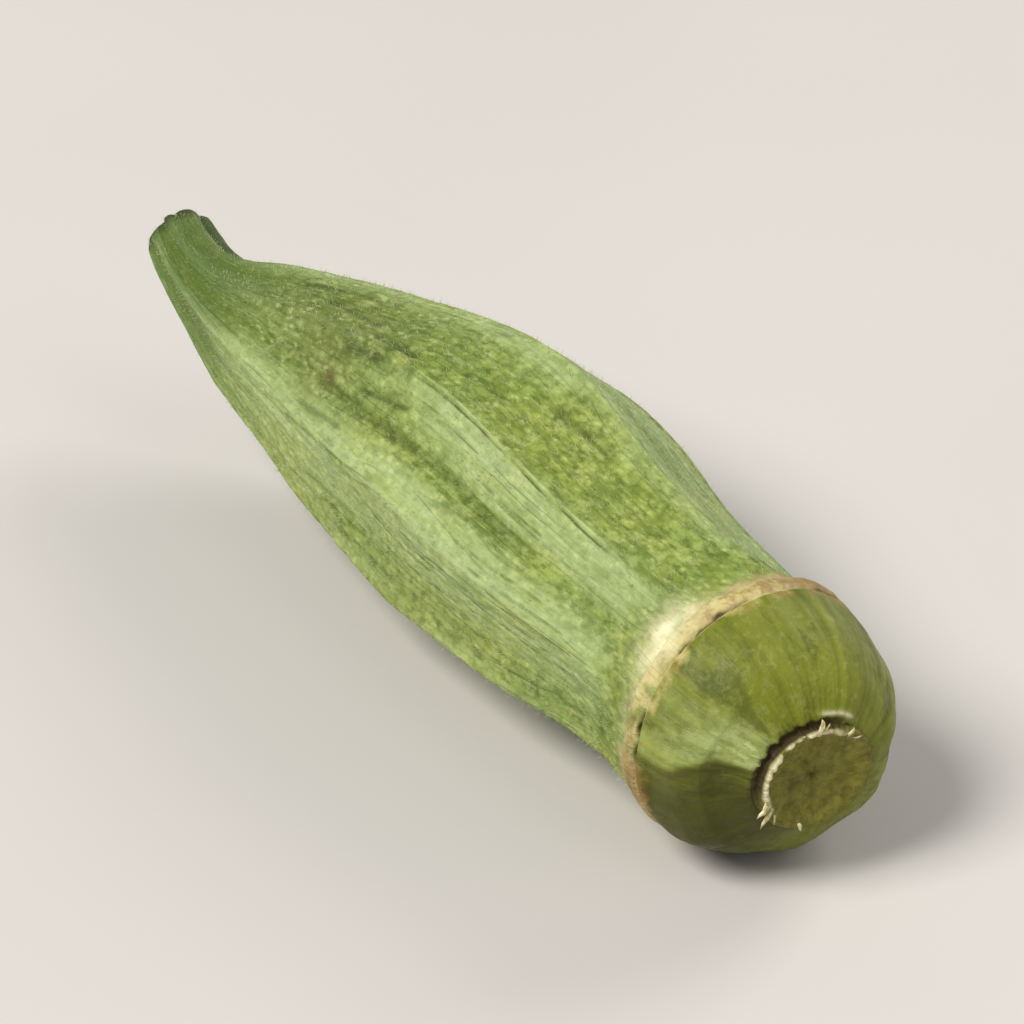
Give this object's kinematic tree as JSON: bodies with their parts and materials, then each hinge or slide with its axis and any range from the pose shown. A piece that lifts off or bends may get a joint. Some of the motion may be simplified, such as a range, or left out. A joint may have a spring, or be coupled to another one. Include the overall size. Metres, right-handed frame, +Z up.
{
  "type": "okra pod",
  "caption": "Whole dried okra pod, ribbed and tapering to a blunt beak, with a corky ring, a domed cap and a cut stalk end, lying on its belly.",
  "frame": {"origin": "on the surface that the pod lies on, under the middle of its box", "axes": "+X along the pod towards its cut stalk, with the beak at -X, and +Z up"},
  "size_m": [0.074, 0.0208, 0.02],
  "materials": {
    "pod_skin": "matte dried green skin with a pale bloom and fine hairs"
  },
  "bodies": {
    "root": {"okra_pod": "pod_skin"}
  },
  "joints": []
}
